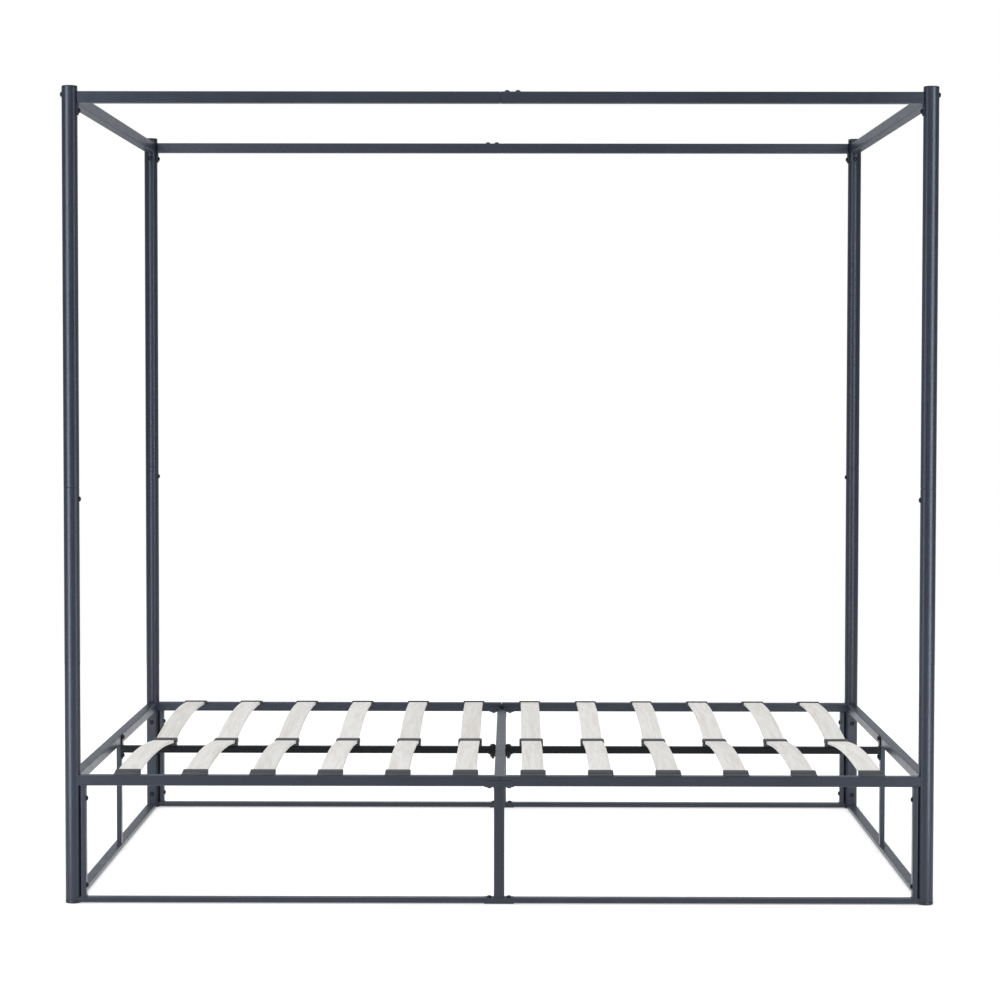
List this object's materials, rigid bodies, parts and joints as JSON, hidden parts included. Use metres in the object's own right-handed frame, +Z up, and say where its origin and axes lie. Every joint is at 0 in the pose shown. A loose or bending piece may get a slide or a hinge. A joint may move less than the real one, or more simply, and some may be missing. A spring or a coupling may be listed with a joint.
{
  "type": "canopy bed frame",
  "caption": "Four poster canopy bed frame: round steel posts, square tube canopy and base frames, centre rail, and two rows of bowed wooden slats.",
  "frame": {"origin": "on the floor at the middle of the footprint", "axes": "+X along the bed, +Y across it away from the side seen in front, +Z up"},
  "size_m": [2.1224, 1.594, 1.9828],
  "materials": {
    "powder_coated_steel": "satin charcoal powder coat",
    "black_plastic": "fine matt",
    "birch": "plain sanded plywood"
  },
  "bodies": {
    "root": {"lower_post_front_left": "powder_coated_steel", "lower_post_front_right": "powder_coated_steel", "lower_post_rear_left": "powder_coated_steel", "lower_post_rear_right": "powder_coated_steel", "upper_post_front_left": "powder_coated_steel", "upper_post_front_right": "powder_coated_steel", "upper_post_rear_left": "powder_coated_steel", "upper_post_rear_right": "powder_coated_steel", "foot_cap_front_left": "black_plastic", "foot_cap_front_right": "black_plastic", "foot_cap_rear_left": "black_plastic", "foot_cap_rear_right": "black_plastic", "post_cap_front_left": "black_plastic", "post_cap_front_right": "black_plastic", "post_cap_rear_left": "black_plastic", "post_cap_rear_right": "black_plastic", "canopy_rail_front_left": "powder_coated_steel", "canopy_rail_front_right": "powder_coated_steel", "canopy_rail_rear_left": "powder_coated_steel", "canopy_rail_rear_right": "powder_coated_steel", "canopy_end_rail_left": "powder_coated_steel", "canopy_end_rail_right": "powder_coated_steel", "side_frame_front_left": "powder_coated_steel", "side_frame_front_right": "powder_coated_steel", "side_frame_rear_left": "powder_coated_steel", "side_frame_rear_right": "powder_coated_steel", "end_frame_left": "powder_coated_steel", "end_frame_right": "powder_coated_steel", "centre_leg_front": "powder_coated_steel", "centre_leg_rear": "powder_coated_steel", "cross_rail": "powder_coated_steel", "centre_hanger": "powder_coated_steel", "centre_rail_left": "powder_coated_steel", "centre_rail_right": "powder_coated_steel", "slat_front_01": "birch", "slat_front_02": "birch", "slat_front_03": "birch", "slat_front_04": "birch", "slat_front_05": "birch", "slat_front_06": "birch", "slat_front_07": "birch", "slat_front_08": "birch", "slat_front_09": "birch", "slat_front_10": "birch", "slat_front_11": "birch", "slat_front_12": "birch", "slat_rear_01": "birch", "slat_rear_02": "birch", "slat_rear_03": "birch", "slat_rear_04": "birch", "slat_rear_05": "birch", "slat_rear_06": "birch", "slat_rear_07": "birch", "slat_rear_08": "birch", "slat_rear_09": "birch", "slat_rear_10": "birch", "slat_rear_11": "birch", "slat_rear_12": "birch"}
  },
  "joints": []
}
